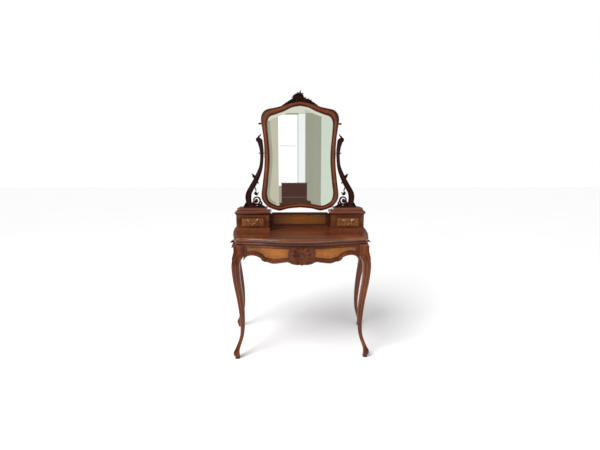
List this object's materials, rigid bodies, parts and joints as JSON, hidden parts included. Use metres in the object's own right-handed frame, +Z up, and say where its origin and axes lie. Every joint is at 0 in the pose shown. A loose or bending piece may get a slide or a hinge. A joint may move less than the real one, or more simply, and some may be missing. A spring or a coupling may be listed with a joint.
{
  "type": "vanity table with mirror",
  "caption": "Cabriole-legged vanity table with a bowed top, trinket boxes with drawers and a shaped mirror that tilts between scrolled standards.",
  "frame": {"origin": "middle of the overall box, on the floor", "axes": "+X to the sitter's right across the table, +Y from the sitter towards the wall, +Z up"},
  "size_m": [0.9538, 0.52, 1.656],
  "materials": {
    "mahogany": "French-polished reddish brown mahogany",
    "panel_mahogany": "French-polished golden brown figured mahogany",
    "dark_mahogany": "dark polished carved mahogany",
    "drawer_lining": "plain unpolished lining timber",
    "brass": "aged cast brass",
    "mirror": "silvered bevelled plate glass"
  },
  "bodies": {
    "table": {"table_top": "mahogany", "front_top_moulding": "mahogany", "left_top_moulding": "mahogany", "right_top_moulding": "mahogany", "front_left_leg": "mahogany", "front_right_leg": "mahogany", "back_left_leg": "mahogany", "back_right_leg": "mahogany", "front_apron": "panel_mahogany", "left_apron": "panel_mahogany", "right_apron": "panel_mahogany", "back_rail": "mahogany", "front_left_glue_block": "drawer_lining", "front_right_glue_block": "drawer_lining", "back_left_glue_block": "drawer_lining", "back_right_glue_block": "drawer_lining", "front_cartouche": "mahogany", "left_cartouche": "mahogany", "right_cartouche": "mahogany", "back_panel": "panel_mahogany", "back_panel_base_moulding": "mahogany", "back_panel_capping": "mahogany", "left_box_plinth": "mahogany", "left_box_carcass": "mahogany", "left_box_cornice": "mahogany", "left_box_cap": "mahogany", "left_standard": "dark_mahogany", "right_box_plinth": "mahogany", "right_box_carcass": "mahogany", "right_box_cornice": "mahogany", "right_box_cap": "mahogany", "right_standard": "dark_mahogany"},
    "left_drawer": {"left_drawer_front": "panel_mahogany", "left_drawer_inner_side": "drawer_lining", "left_drawer_outer_side": "drawer_lining", "left_drawer_back": "drawer_lining", "left_drawer_bottom": "drawer_lining", "left_handle_inner_post": "brass", "left_handle_outer_post": "brass"},
    "left_bail": {"left_handle_bail": "brass"},
    "right_drawer": {"right_drawer_front": "panel_mahogany", "right_drawer_inner_side": "drawer_lining", "right_drawer_outer_side": "drawer_lining", "right_drawer_back": "drawer_lining", "right_drawer_bottom": "drawer_lining", "right_handle_inner_post": "brass", "right_handle_outer_post": "brass"},
    "right_bail": {"right_handle_bail": "brass"},
    "mirror": {"mirror_frame": "mahogany", "mirror_glass": "mirror", "mirror_backboard": "drawer_lining", "mirror_crest": "dark_mahogany", "left_frame_bud": "dark_mahogany", "right_frame_bud": "dark_mahogany", "left_swivel_plate": "brass", "right_swivel_plate": "brass"},
    "left_swivel": {"left_swivel_screw": "brass"},
    "right_swivel": {"right_swivel_screw": "brass"}
  },
  "joints": [
    {"name": "mirror_tilt", "type": "hinge", "parent": "table", "child": "mirror", "pos_m": [0, 0.16, 1.25], "axis": [1, 0, 0], "range_deg": [-20, 14]},
    {"name": "left_drawer_slide", "type": "slide", "parent": "table", "child": "left_drawer", "axis": [0, -1, 0], "range_m": [0, 0.1]},
    {"name": "right_drawer_slide", "type": "slide", "parent": "table", "child": "right_drawer", "axis": [0, -1, 0], "range_m": [0, 0.1]},
    {"name": "left_bail_swing", "type": "hinge", "parent": "left_drawer", "child": "left_bail", "pos_m": [-0.317, 0.074, 0.80745], "axis": [-1, 0, 0], "range_deg": [0, 85]},
    {"name": "right_bail_swing", "type": "hinge", "parent": "right_drawer", "child": "right_bail", "pos_m": [0.317, 0.074, 0.80745], "axis": [-1, 0, 0], "range_deg": [0, 85]},
    {"name": "left_swivel_turn", "type": "hinge", "parent": "mirror", "child": "left_swivel", "pos_m": [-0.27, 0.16, 1.25], "axis": [1, 0, 0], "range_deg": [-360, 360]},
    {"name": "right_swivel_turn", "type": "hinge", "parent": "mirror", "child": "right_swivel", "pos_m": [0.27, 0.16, 1.25], "axis": [1, 0, 0], "range_deg": [-360, 360]}
  ]
}
